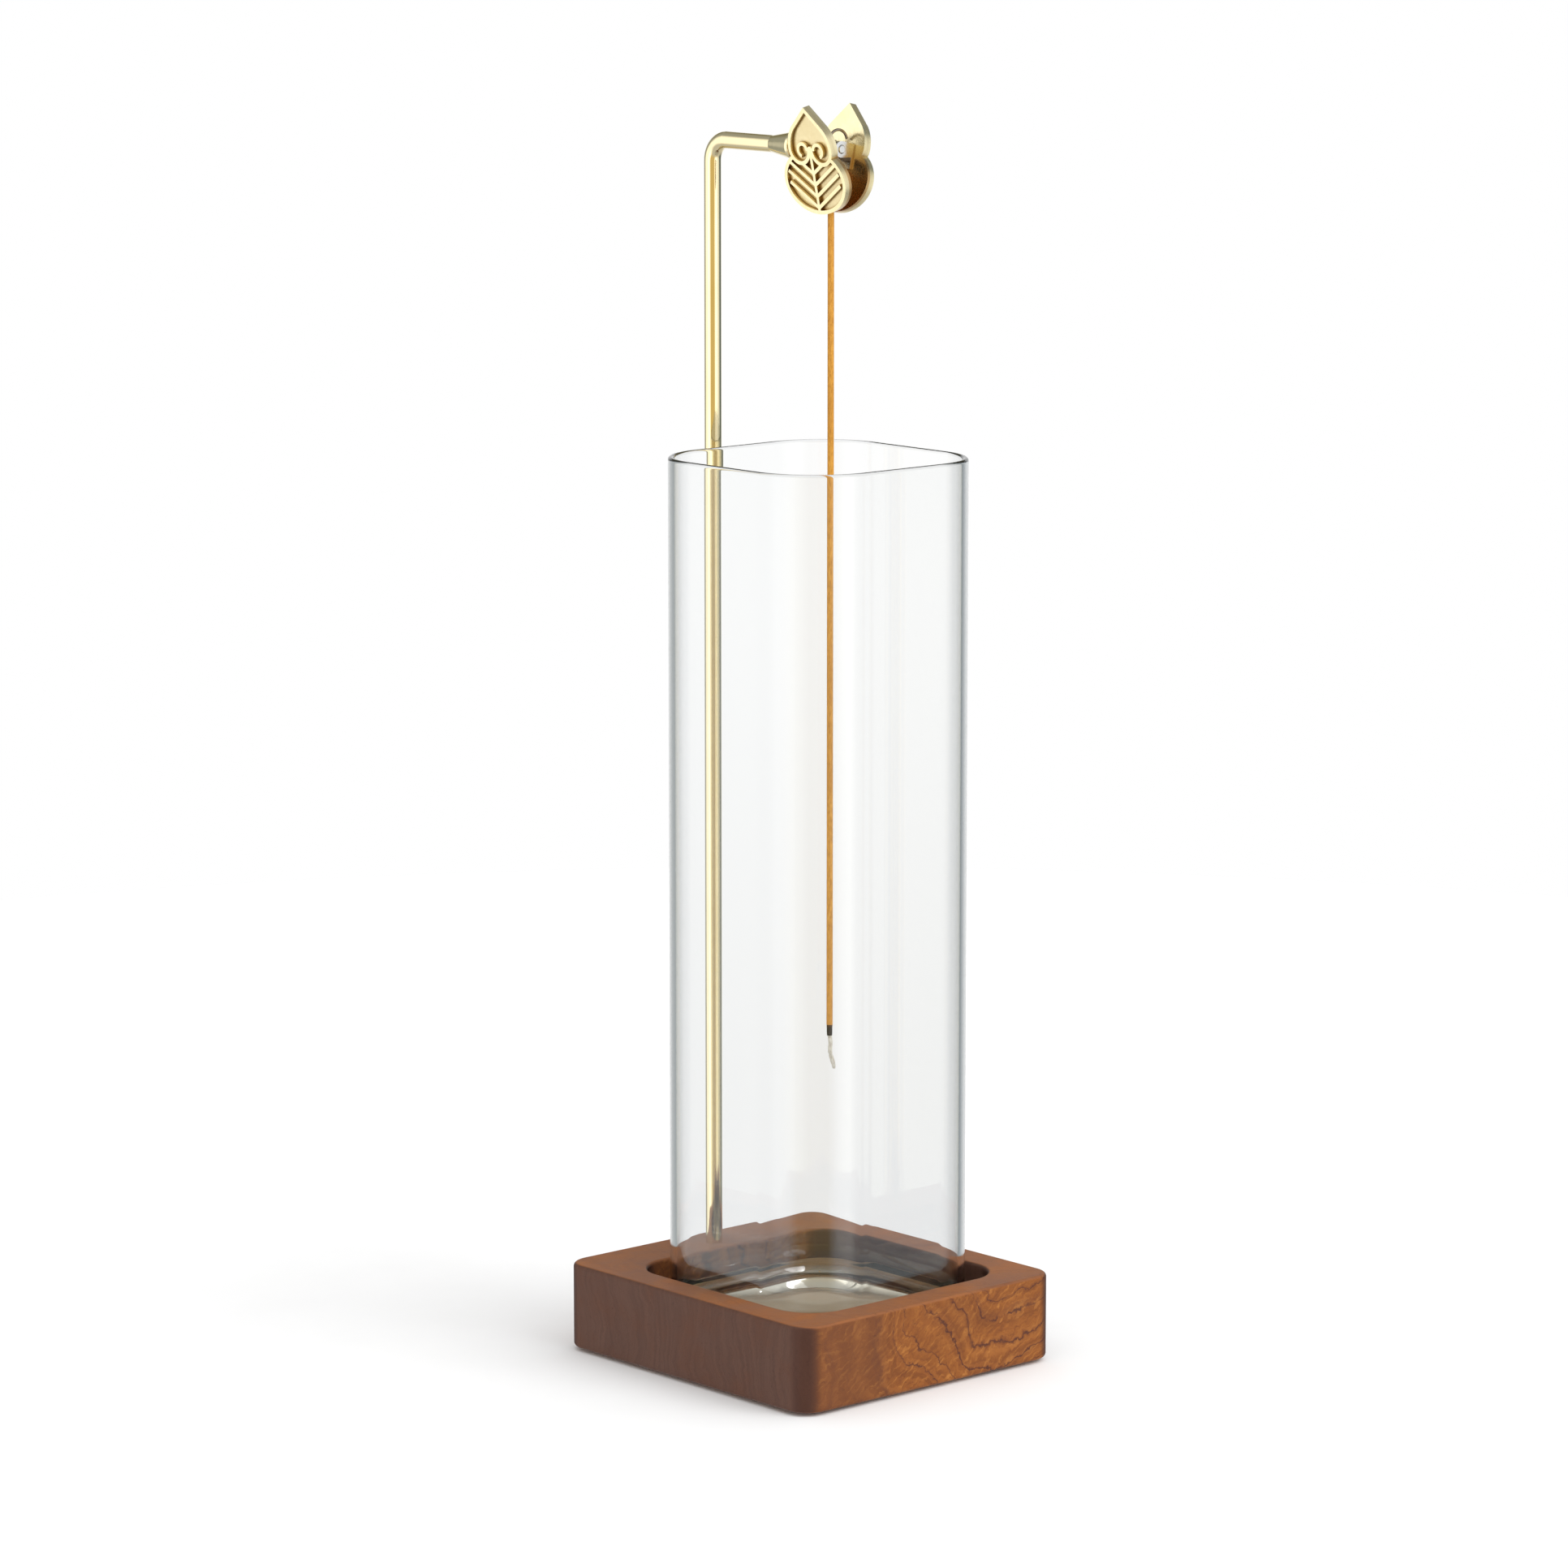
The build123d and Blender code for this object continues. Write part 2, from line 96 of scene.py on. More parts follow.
class Graph:
    """A short way to write a node tree: each call adds a node and returns one of its outputs."""

    def __init__(self, tree):
        self.tree = tree
        self.tree.nodes.clear()

    def add(self, kind, inputs=None, output=0, **settings):
        node = self.tree.nodes.new(kind)
        for key, value in settings.items():
            setattr(node, key, value)
        for key, value in (inputs or {}).items():
            self.put(node.inputs[key], value)
        return None if output is None else node.outputs[output]

    def put(self, socket, value):
        if isinstance(value, bpy.types.NodeSocket):
            self.tree.links.new(value, socket)
        else:
            socket.default_value = value

    def math(self, operation, a, b=0.0, clamp=False):
        return self.add("ShaderNodeMath", {0: a, 1: b}, operation=operation, use_clamp=clamp)

    def vector(self, operation, a, b=(0, 0, 0), output=0):
        return self.add("ShaderNodeVectorMath", {0: a, 1: b}, output, operation=operation)

    def dot(self, a, b):
        return self.vector("DOT_PRODUCT", a, b, "Value")

    def smooth(self, value, low, high, to_low=0.0, to_high=1.0):
        inputs = {0: value, 1: low, 2: high, 3: to_low, 4: to_high}
        return self.add("ShaderNodeMapRange", inputs, interpolation_type="SMOOTHSTEP")

    def noise(self, vector, scale, detail=2.0, roughness=0.5, distortion=0.0, output=0):
        inputs = {"Vector": vector, "Scale": scale, "Detail": detail}
        inputs.update({"Roughness": roughness, "Distortion": distortion})
        return self.add("ShaderNodeTexNoise", inputs, output)

    def noise_line(self, value, scale, detail=2.0, roughness=0.5):
        inputs = {"W": value, "Scale": scale, "Detail": detail, "Roughness": roughness}
        return self.add("ShaderNodeTexNoise", inputs, noise_dimensions="1D")

    def ramp(self, value, stops, interpolation="LINEAR"):
        output = self.add("ShaderNodeValToRGB", {0: value})
        band = output.node.color_ramp
        band.interpolation = interpolation
        while len(band.elements) < len(stops):
            band.elements.new(0.5)
        for element, (position, colour) in zip(band.elements, stops):
            element.position = position
            element.color = (*colour, 1.0)
        return output

    def mix(self, factor, a, b, blend="MIX"):
        inputs = {0: factor, 6: self.colour(a), 7: self.colour(b)}
        return self.add("ShaderNodeMix", inputs, 2, data_type="RGBA", blend_type=blend)

    def bump(self, height, strength, distance):
        inputs = {"Height": height, "Strength": strength, "Distance": distance}
        return self.add("ShaderNodeBump", inputs)

    def place(self):
        """The point on the surface in the shared frame, in metres."""
        return self.add("ShaderNodeTexCoord", output="Object")

    def facing(self):
        """The surface's own direction in the shared frame."""
        return self.add("ShaderNodeTexCoord", output="Normal")

    def scaled(self, vector, scale):
        return self.vector("MULTIPLY", vector, scale)

    def parts(self, vector):
        node = self.tree.nodes.new("ShaderNodeSeparateXYZ")
        self.tree.links.new(vector, node.inputs[0])
        return node.outputs

    @staticmethod
    def colour(value):
        return (*value, 1.0) if isinstance(value, tuple) and len(value) == 3 else value


def material(name, uniform, build=None):
    """A Principled material. Uniform values go straight on its sockets, and build links the rest."""
    made = bpy.data.materials.new(name)
    made.use_nodes = True
    graph = Graph(made.node_tree)
    shader = made.node_tree.nodes.new("ShaderNodeBsdfPrincipled")
    output = made.node_tree.nodes.new("ShaderNodeOutputMaterial")
    made.node_tree.links.new(shader.outputs[0], output.inputs[0])
    for key, value in uniform.items():
        shader.inputs[key].default_value = Graph.colour(value)
    if build:
        for key, value in build(graph).items():
            graph.put(shader.inputs[key], value)
    return made


def dress(node, finish):
    """A carried-over CAD node takes this material."""
    mesh = nodes[node].data
    mesh.materials.clear()
    mesh.materials.append(finish)


# ---------------------------------------------------------------- rosewood

GRAIN_PLACE = (0.043, 0.030, 0.027)     # where the heart of the figure meets the +X face
GRAIN_AXIS = Vector((0.62, 0.74, 0.26)).normalized()
HATCH_AXIS = Vector((0.10, 0.80, 0.58)).normalized()
HATCH_ACROSS = Vector((0.0, -0.58, 0.80)).normalized()
GROWTH_SPACING = 2.1 * MM
GROWTH_UNEVEN = 9.0 * MM
LINE_CORE = 0.06 * MM
LINE_EDGE = 0.32 * MM
HALO_EDGE = 1.30 * MM
FIGURE_STARTS = -26.0 * MM              # along Y: the figure fades in between these two
FIGURE_FULL = -4.0 * MM
# painted light: the pocket's floor below these heights is painted paler, standing in for light through the
# glass
POCKET_PAINTED_LIGHT_LOW = 12.0 * MM            # the pocket's floor lies below this height
POCKET_PAINTED_LIGHT_HIGH = 16.0 * MM


def rosewood(graph):
    place = graph.place()
    facing = graph.parts(graph.facing())
    warp = graph.vector("SUBTRACT", graph.noise(place, 42.0, 2.0, 0.5, output=1), (0.5, 0.5, 0.5))
    warped = graph.vector("ADD", place, graph.scaled(warp, (0.016, 0.016, 0.016)))
    ripple = graph.vector("SUBTRACT", graph.noise(place, 560.0, 2.0, 0.6, output=1), (0.5, 0.5, 0.5))
    warped = graph.vector("ADD", warped, graph.scaled(ripple, (0.0022, 0.0022, 0.0022)))

    # growth rings: the distance from a leaning heart line
    reach = graph.vector("SUBTRACT", warped, GRAIN_PLACE)
    along = graph.dot(reach, tuple(GRAIN_AXIS))
    back = graph.add("ShaderNodeVectorMath", {0: tuple(GRAIN_AXIS), "Scale": along}, operation="SCALE")
    rings = graph.vector("LENGTH", graph.vector("SUBTRACT", reach, back), output="Value")

    # dark lines unevenly spaced, a soft shade beside each, bands between them, and fine hatching across
    uneven = graph.math("MULTIPLY", graph.noise_line(rings, 150.0, 2.0, 0.5), GROWTH_UNEVEN)
    from_line = graph.math("PINGPONG", graph.math("ADD", rings, uneven), GROWTH_SPACING)
    lines = graph.smooth(from_line, LINE_CORE, LINE_EDGE, 1.0, 0.0)
    halo = graph.smooth(from_line, 0.0, HALO_EDGE, 1.0, 0.0)
    bands = graph.noise_line(rings, 420.0, 3.0, 0.6)
    hatch_along = graph.math("MULTIPLY", graph.dot(warped, tuple(HATCH_AXIS)), 160.0)
    hatch_across = graph.math("MULTIPLY", graph.dot(warped, tuple(HATCH_ACROSS)), 950.0)
    lengthways = graph.parts(place)[0]
    hatch_point = graph.add("ShaderNodeCombineXYZ", {0: hatch_along, 1: hatch_across, 2: lengthways})
    hatch = graph.noise(hatch_point, 1.0, 3.0, 0.6)
    mottle = graph.noise(graph.scaled(place, (110.0, 60.0, 110.0)), 1.0, 4.0, 0.6)
    pores = graph.noise(graph.scaled(warped, (2600.0, 420.0, 2600.0)), 1.0, 2.0, 0.6)
    pore_marks = graph.smooth(pores, 0.60, 0.74)
    broken = graph.smooth(graph.noise(place, 260.0, 2.0, 0.5), 0.30, 0.50)
    figured = graph.smooth(graph.parts(place)[1], FIGURE_STARTS, FIGURE_FULL, 0.30, 1.0)
    lines = graph.math("MULTIPLY", graph.math("MULTIPLY", lines, broken), figured)

    # the long faces show the figure, and the end faces are dark and plain
    across_x = graph.math("ABSOLUTE", facing[0])
    across_y = graph.math("ABSOLUTE", facing[1])
    end = graph.smooth(across_y, 0.22, 0.62)
    upper = graph.smooth(facing[2], 0.35, 0.85)
    heart = graph.ramp(bands, [(0.30, (0.205, 0.062, 0.012)), (0.50, (0.275, 0.088, 0.016)),
                               (0.70, (0.350, 0.121, 0.023))])
    heart = graph.mix(graph.smooth(hatch, 0.52, 0.70, 0.0, 0.75), heart, (0.490, 0.195, 0.040))
    heart = graph.mix(graph.smooth(hatch, 0.48, 0.32, 0.0, 0.60), heart, (0.165, 0.046, 0.012))
    heart = graph.mix(graph.smooth(mottle, 0.46, 0.74, 0.0, 0.50), heart, (0.175, 0.056, 0.016))
    heart = graph.mix(graph.math("MULTIPLY", halo, 0.30), heart, (0.170, 0.052, 0.018))
    heart = graph.mix(graph.math("MULTIPLY", lines, 0.85), heart, (0.070, 0.022, 0.016))
    heart = graph.mix(graph.smooth(figured, 0.30, 1.0, 0.62, 0.08), heart, (0.150, 0.052, 0.020))
    plain = graph.ramp(mottle, [(0.28, (0.225, 0.083, 0.036)), (0.50, (0.290, 0.110, 0.042)),
                                (0.72, (0.360, 0.130, 0.040))])
    plain = graph.mix(graph.smooth(hatch, 0.45, 0.70, 0.0, 0.35), plain, (0.200, 0.080, 0.042))
    plain = graph.mix(graph.math("MULTIPLY", lines, 0.25), plain, (0.130, 0.050, 0.030))
    streak = graph.noise(graph.scaled(warped, (900.0, 60.0, 45.0)), 1.0, 3.0, 0.6)
    ends = graph.ramp(streak, [(0.30, (0.092, 0.041, 0.027)), (0.70, (0.118, 0.054, 0.035))])
    ends = graph.mix(graph.smooth(mottle, 0.45, 0.75, 0.0, 0.5), ends, (0.128, 0.050, 0.028))
    # painted shade: darker where a face turns between X and Y, on the rounded vertical corners
    painted_corner_shade = graph.math("MULTIPLY", across_x, across_y)
    painted_corner_shade = graph.smooth(painted_corner_shade, 0.10, 0.40, 0.0, 0.55)
    colour = graph.mix(upper, heart, plain)

    # painted light: the pocket's floor is painted paler than the oiled faces, standing in for the light that
    # reaches it through the glass
    deep = graph.smooth(graph.parts(place)[2], POCKET_PAINTED_LIGHT_LOW, POCKET_PAINTED_LIGHT_HIGH, 1.0, 0.0)
    pocket_painted_light = graph.math("MULTIPLY", upper, deep)
    colour = graph.mix(graph.math("MULTIPLY", pocket_painted_light, 0.8), colour, (0.600, 0.400, 0.220))
    colour = graph.mix(end, colour, ends)
    # painted shade on the rounded vertical corners
    colour = graph.mix(painted_corner_shade, colour, (0.046, 0.014, 0.009))
    colour = graph.mix(graph.math("MULTIPLY", pore_marks, 0.35), colour, (0.045, 0.018, 0.012))

    relief = graph.math("ADD", graph.math("MULTIPLY", pores, -0.6), graph.math("MULTIPLY", bands, 0.4))
    gloss = graph.smooth(mottle, 0.2, 0.8, 0.46, 0.60)
    return {"Base Color": colour, "Roughness": gloss, "Normal": graph.bump(relief, 0.25, 0.0002)}


# ---------------------------------------------------------------- metals


def polished_brass(graph):
    place = graph.place()
    draw_lines = graph.noise(graph.scaled(place, (1500.0, 1500.0, 14.0)), 1.0, 3.0, 0.6)
    cloud = graph.noise(place, 55.0, 3.0, 0.6)
    colour = graph.ramp(cloud, [(0.30, (0.82, 0.700, 0.420)), (0.70, (0.88, 0.770, 0.490))])
    rough = graph.smooth(draw_lines, 0.2, 0.8, 0.06, 0.13)
    return {"Base Color": colour, "Roughness": rough, "Normal": graph.bump(draw_lines, 0.06, 0.0001)}


def cast_brass(side):
    """The clip's plates: bright faces, painted crevice shade, and painted reflection and shade on the inner
    face below the pin.

    side is -1 for the front plate and +1 for the rear one."""
    outward = Vector((0.0, side * math.cos(PLATE_TILT), -math.sin(PLATE_TILT)))
    plate = nodes["front_plate" if side < 0 else "rear_plate"].data
    face = max(vertex.co.dot(outward) for vertex in plate.vertices)
    pin_low, pin_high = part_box("hinge_pin")
    pin_height = (pin_low.z + pin_high.z) / 2

    def build(graph):
        place = graph.place()
        depth = graph.math("SUBTRACT", face, graph.dot(place, tuple(outward)))
        low = graph.smooth(depth, 0.25 * PLATE_RELIEF, 1.0 * PLATE_RELIEF)
        ornament = graph.smooth(depth, 1.30 * PLATE_RELIEF, 1.8 * PLATE_RELIEF, 1.0, 0.0)
        recess = graph.math("MULTIPLY", low, ornament)
        open_sky = graph.add("ShaderNodeAmbientOcclusion", {"Distance": CREVICE_SHADE_REACH}, 1, samples=8)
        painted_crevice_shade = graph.smooth(open_sky, 0.50, 0.86, 1.0, 0.0)
        grain = graph.noise(place, 1400.0, 4.0, 0.65)
        cloud = graph.noise(place, 160.0, 3.0, 0.6)
        bright = graph.ramp(cloud, [(0.30, (0.87, 0.745, 0.430)), (0.70, (0.94, 0.830, 0.520))])
        worn = graph.mix(graph.smooth(cloud, 0.35, 0.65), (0.330, 0.190, 0.055), (0.460, 0.300, 0.110))
        colour = graph.mix(graph.math("MULTIPLY", recess, 0.18), bright, worn)
        # painted shade: crevices found by ambient occlusion are darkened to brown
        colour = graph.mix(graph.math("MULTIPLY", painted_crevice_shade, 0.80), colour, (0.300, 0.165, 0.035))
        height = graph.parts(place)[2]
        below_pin = graph.smooth(height, pin_height - PAINTED_REFLECTION_FULL, pin_height + PAINTED_REFLECTION_STARTS, 1.0, 0.0)
        painted_reflection = graph.math("MULTIPLY", below_pin, graph.math("SUBTRACT", 1.0, ornament))
        # painted reflection and shade: the inner face below the pin is painted brown
        colour = graph.mix(graph.math("MULTIPLY", painted_reflection, 0.75), colour, (0.420, 0.190, 0.035))
        rough = graph.smooth(grain, 0.2, 0.8, 0.20, 0.32)
        rough = graph.math("ADD", rough, graph.math("MULTIPLY", recess, 0.06))
        return {"Base Color": colour, "Roughness": rough, "Normal": graph.bump(grain, 0.04, 0.00004)}

    return build


def bright_metal(light, dark, rough_low, rough_high):
    def build(graph):
        place = graph.place()
        cloud = graph.noise(place, 300.0, 3.0, 0.6)
        scuff = graph.noise(graph.scaled(place, (400.0, 3000.0, 3000.0)), 1.0, 3.0, 0.6)
        colour = graph.ramp(cloud, [(0.30, dark), (0.70, light)])
        rough = graph.smooth(scuff, 0.2, 0.8, rough_low, rough_high)
        return {"Base Color": colour, "Roughness": rough, "Normal": graph.bump(scuff, 0.05, 0.00005)}

    return build


# ---------------------------------------------------------------- stick, ash and pads


def incense(graph):
    place = graph.place()
    grit = graph.noise(graph.scaled(place, (2600.0, 2600.0, 700.0)), 1.0, 4.0, 0.65)
    drift = graph.noise(graph.scaled(place, (20.0, 20.0, 60.0)), 1.0, 3.0, 0.6)
    colour = graph.ramp(grit, [(0.25, (0.400, 0.165, 0.024)), (0.50, (0.640, 0.300, 0.045)),
                               (0.75, (0.780, 0.400, 0.075))])
    colour = graph.mix(graph.smooth(drift, 0.35, 0.75, 0.0, 0.7), colour, (0.520, 0.230, 0.040))
    return {"Base Color": colour, "Normal": graph.bump(grit, 0.6, 0.00012)}


def charred(graph):
    place = graph.place()
    crackle = graph.noise(place, 2600.0, 4.0, 0.7)
    height = graph.parts(place)[2]
    low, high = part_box("charred_tip")
    rising = graph.smooth(height, high.z - 0.35 * (high.z - low.z), high.z)
    colour = graph.ramp(crackle, [(0.30, (0.006, 0.005, 0.005)), (0.70, (0.028, 0.022, 0.020))])
    colour = graph.mix(rising, colour, (0.110, 0.050, 0.020))
    return {"Base Color": colour, "Normal": graph.bump(crackle, 0.8, 0.0002)}


def ash(graph):
    place = graph.place()
    flake = graph.noise(graph.scaled(place, (1.0, 1.0, 0.5)), 2400.0, 4.0, 0.7)
    colour = graph.ramp(flake, [(0.30, (0.480, 0.430, 0.350)), (0.55, (0.720, 0.680, 0.590)),
                                (0.80, (0.850, 0.830, 0.770))])
    return {"Base Color": colour, "Normal": graph.bump(flake, 0.9, 0.0003)}


def pad_rubber(graph):
    place = graph.place()
    grain = graph.noise(place, 1800.0, 3.0, 0.6)
    colour = graph.ramp(grain, [(0.30, (0.016, 0.015, 0.015)), (0.70, (0.032, 0.030, 0.029))])
    return {"Base Color": colour, "Normal": graph.bump(grain, 0.4, 0.0001)}


def clear_glass(graph):
    place = graph.place()
    draw = graph.noise(graph.scaled(place, (45.0, 45.0, 3.0)), 1.0, 2.0, 0.5)
    colour = graph.ramp(draw, [(0.30, (0.950, 0.957, 0.960)), (0.70, (0.962, 0.967, 0.968))])
    return {"Base Color": colour, "Normal": graph.bump(draw, 0.02, 0.0002)}


metal = {"Metallic": 1.0}
wood_finish = material("rosewood", {"Specular IOR Level": 0.22}, rosewood)
brass_finish = material("polished_brass", metal, polished_brass)
silver = bright_metal((0.86, 0.85, 0.82), (0.74, 0.73, 0.69), 0.14, 0.26)
steel_finish = material("plated_steel", metal, silver)
dull = bright_metal((0.46, 0.40, 0.32), (0.30, 0.25, 0.19), 0.24, 0.38)
spring_finish = material("spring_steel", metal, dull)
glass_look = {"Transmission Weight": 1.0, "IOR": 1.47, "Roughness": 0.0, "Specular IOR Level": 0.30}
glass_finish = material("clear_glass", glass_look, clear_glass)
incense_finish = material("incense", {"Roughness": 0.75, "Specular IOR Level": 0.25}, incense)
char_finish = material("char", {"Roughness": 0.85, "Specular IOR Level": 0.2}, charred)
ash_finish = material("ash", {"Roughness": 0.95, "Specular IOR Level": 0.1}, ash)
rubber_finish = material("pad_rubber", {"Roughness": 0.62}, pad_rubber)

dress("base_block", wood_finish)
dress("foot_pads", rubber_finish)
for node in ("support_rod", "arm_ferrule"):
    dress(node, brass_finish)
for side, name in ((-1, "front_plate"), (1, "rear_plate")):
    dress(name, material("cast_brass_" + name, metal, cast_brass(side)))
for node in ("rod_washer", "rod_nut", "hinge_pin", "front_bracket", "rear_bracket"):
    dress(node, steel_finish)
dress("torsion_spring", spring_finish)
dress("incense_stick", incense_finish)


# ---------------------------------------------------------------- mesh helpers


def mesh_object(name, points, faces, finish):
    """A smooth-shaded mesh object with its normals facing outwards."""
    mesh = bpy.data.meshes.new(name)
    mesh.from_pydata(points, [], faces)
    work = bmesh.new()
    work.from_mesh(mesh)
    bmesh.ops.recalc_face_normals(work, faces=work.faces)
    work.to_mesh(mesh)
    work.free()
    for polygon in mesh.polygons:
        polygon.use_smooth = True
    mesh.materials.append(finish)
    made = bpy.data.objects.new(name, mesh)
    bpy.context.scene.collection.objects.link(made)
    return made


def ring_stack(rings, start, end):
    """Points and faces through a stack of closed rings of as many points each, with a point at each end."""
    count = len(rings[0])
    points = [start] + [point for ring in rings for point in ring] + [end]
    faces = [(0, 1 + (i + 1) % count, 1 + i) for i in range(count)]
    for level in range(len(rings) - 1):
        base = 1 + level * count
        for i in range(count):
            j = (i + 1) % count
            faces.append((base + i, base + j, base + count + j, base + count + i))
    last = 1 + (len(rings) - 1) * count
    faces += [(len(points) - 1, last + i, last + (i + 1) % count) for i in range(count)]
    return points, faces


def weighted_normals(piece):
    modifier = piece.modifiers.new("flat sides stay flat", "WEIGHTED_NORMAL")
    modifier.weight = 100
    modifier.keep_sharp = False


# ---------------------------------------------------------------- glass chimney

glass_low, glass_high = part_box("glass_chimney")
glass_centre = (glass_low + glass_high) / 2
GLASS_HALF = (glass_high.x - glass_low.x) / 2


def square_reach(angle, half, painted_corner_shade):
    """How far a rounded square's edge is from its centre, in one direction."""
    across, up = abs(math.cos(angle)), abs(math.sin(angle))
    straight = half - painted_corner_shade
    if up * half <= across * straight:
        return half / across
    if across * half <= up * straight:
        return half / up
    middle = straight * (across + up)
    return middle + math.sqrt(middle * middle - 2 * straight * straight + painted_corner_shade * painted_corner_shade)


def glass_ring(inset, height, round_r=None, share=0.0):
    """One level of the glass: its outline moved in by inset, and blended by share towards a circle."""
    painted_corner_shade = max(GLASS_CORNER - inset, 3.0 * MM)
    ring = []
    for i in range(GLASS_SIDES):
        angle = 2 * math.pi * i / GLASS_SIDES
        reach = square_reach(angle, GLASS_HALF - inset, painted_corner_shade)
        if share:
            reach += share * (round_r - reach)
        x = glass_centre.x + reach * math.cos(angle)
        y = glass_centre.y + reach * math.sin(angle)
        ring.append((x, y, height))
    return ring


def arc_levels(inset, height, radius, start, end, steps):
    """Levels round an arc of the wall's section. Its centre is at inset and height, and 0 points inwards."""
    levels = []
    for i in range(steps + 1):
        turn = math.radians(start + (end - start) * i / steps)
        levels.append((inset + radius * math.cos(turn), height + radius * math.sin(turn)))
    return levels


def shrinking_rings(inset, height, steps, rise=0.0):
    """Rings from an inset outline in to the middle, turning round on the way, with a gentle rise."""
    outer = GLASS_HALF - inset
    rings = []
    for i in range(1, steps):
        share = i / steps
        size = outer * (1 - share)
        lift = rise * 0.5 * (1 - math.cos(math.pi * min(share * 1.25, 1.0)))
        rings.append(glass_ring(GLASS_HALF - size, height + lift, size, min(1.0, 2 * share)))
    return rings


def glass_shell():
    bottom, top = glass_low.z, glass_high.z
    hold = 0.2 * MM     # a narrow level beside each fillet keeps the straight walls straight
    foot = arc_levels(FOOT_FILLET, bottom + FOOT_FILLET, FOOT_FILLET, -90, -180, 14)
    outer = [(0.0, bottom + FOOT_FILLET + hold), (0.0, top - RIM_FILLET - hold)]
    rim = arc_levels(RIM_FILLET, top - RIM_FILLET, RIM_FILLET, 180, 90, 10)
    rim += arc_levels(GLASS_WALL - RIM_FILLET, top - RIM_FILLET, RIM_FILLET, 90, 0, 10)
    floor_top = bottom + GLASS_FLOOR
    inner = [(GLASS_WALL, top - RIM_FILLET - hold), (GLASS_WALL, floor_top + HEEL_FILLET + hold)]
    heel = arc_levels(GLASS_WALL + HEEL_FILLET, floor_top + HEEL_FILLET, HEEL_FILLET, 180, 270, 16)
    under = shrinking_rings(FOOT_FILLET, bottom, 26, PUNT_RISE)
    above = shrinking_rings(GLASS_WALL + HEEL_FILLET, floor_top, 22)
    rings = list(reversed(under))
    rings += [glass_ring(inset, height) for inset, height in foot + outer + rim + inner + heel]
    rings += above
    start = (glass_centre.x, glass_centre.y, bottom + PUNT_RISE)
    end = (glass_centre.x, glass_centre.y, floor_top)
    return ring_stack(rings, start, end)


chimney = mesh_object("glass_chimney_shell", *glass_shell(), glass_finish)
weighted_normals(chimney)
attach(chimney, "glass")
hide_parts("glass_chimney")


# ---------------------------------------------------------------- burnt end of the stick


def burnt_length(name, centre_line, radius_at, crumble, seed, finish, node):
    """A crumbly round length: rings square to the centre line, with each point pushed in a little."""
    rings = []
    for step, point in enumerate(centre_line):
        share = step / (len(centre_line) - 1)
        before = centre_line[max(step - 1, 0)]
        after = centre_line[min(step + 1, len(centre_line) - 1)]
        turn = (after - before).to_track_quat("Z", "Y")
        ring = []
        for i in range(BURNT_SIDES):
            angle = 2 * math.pi * i / BURNT_SIDES
            spoke = turn @ Vector((math.cos(angle), math.sin(angle), 0))
            sample = (point + spoke * radius_at(share)) * CRUMBLE_SCALE + Vector((seed, 0, 0))
            push = noise.fractal(sample, 1.0, 2.0, 3)
            ring.append(point + spoke * radius_at(share) * (1 - crumble * (0.5 + 0.5 * push)))
        rings.append(ring)
    made = mesh_object(name, *ring_stack(rings, centre_line[0], centre_line[-1]), finish)
    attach(made, "stick")
    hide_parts(node)


char_low, char_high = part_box("charred_tip")
ash_low, ash_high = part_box("ash_tail")
stick_x = (char_low.x + char_high.x) / 2
stick_r = (char_high.x - char_low.x) / 2
ash_reach = ash_high.x - ASH_R - stick_x


def char_point(share):
    return Vector((stick_x, 0, char_high.z + (char_low.z - char_high.z) * share))


def ash_point(share):
    drop = (ash_low.z - char_low.z) * share
    wobble = ASH_WOBBLE * math.sin(9.0 * share)
    return Vector((stick_x + ash_reach * share ** ASH_CURL + wobble, wobble, char_low.z + drop))


def char_radius(share):
    return stick_r * (1 - (1 - CHAR_TAPER) * share)


def ash_radius(share):
    """Full width, and drawn in over the last stretch."""
    end = min(1.0, (1.0 - share) * 9.0)
    return ASH_R * (0.55 + 0.45 * math.sqrt(end)) if share > 0.85 else ASH_R


def line_of(point_at, count):
    return [point_at(i / (count - 1)) for i in range(count)]


char_line = line_of(char_point, CHAR_RINGS)
ash_line = line_of(ash_point, ASH_RINGS)
burnt_length("charred_tip_burnt", char_line, char_radius, CHAR_CRUMBLE, CHAR_SEED, char_finish,
             "charred_tip")
burnt_length("ash_tail_flaky", ash_line, ash_radius, ASH_CRUMBLE, ASH_SEED, ash_finish, "ash_tail")


# ---------------------------------------------------------------- floor, light and camera

FLOOR_R = 0.62


def floor_look(graph):
    grain = graph.noise(graph.place(), 40.0, 3.0, 0.5)
    return {"Base Color": graph.ramp(grain, [(0.2, (0.93, 0.93, 0.93)), (0.8, (0.95, 0.95, 0.95))])}


floor_mesh = bpy.data.meshes.new("floor")
work = bmesh.new()
bmesh.ops.create_circle(work, cap_ends=True, segments=96, radius=FLOOR_R)
work.to_mesh(floor_mesh)
work.free()
floor_mesh.materials.append(material("floor", {"Roughness": 0.9, "Specular IOR Level": 0.0}, floor_look))
floor = bpy.data.objects.new("floor", floor_mesh)
bpy.context.scene.collection.objects.link(floor)
floor.visible_glossy = False
floor.visible_transmission = False

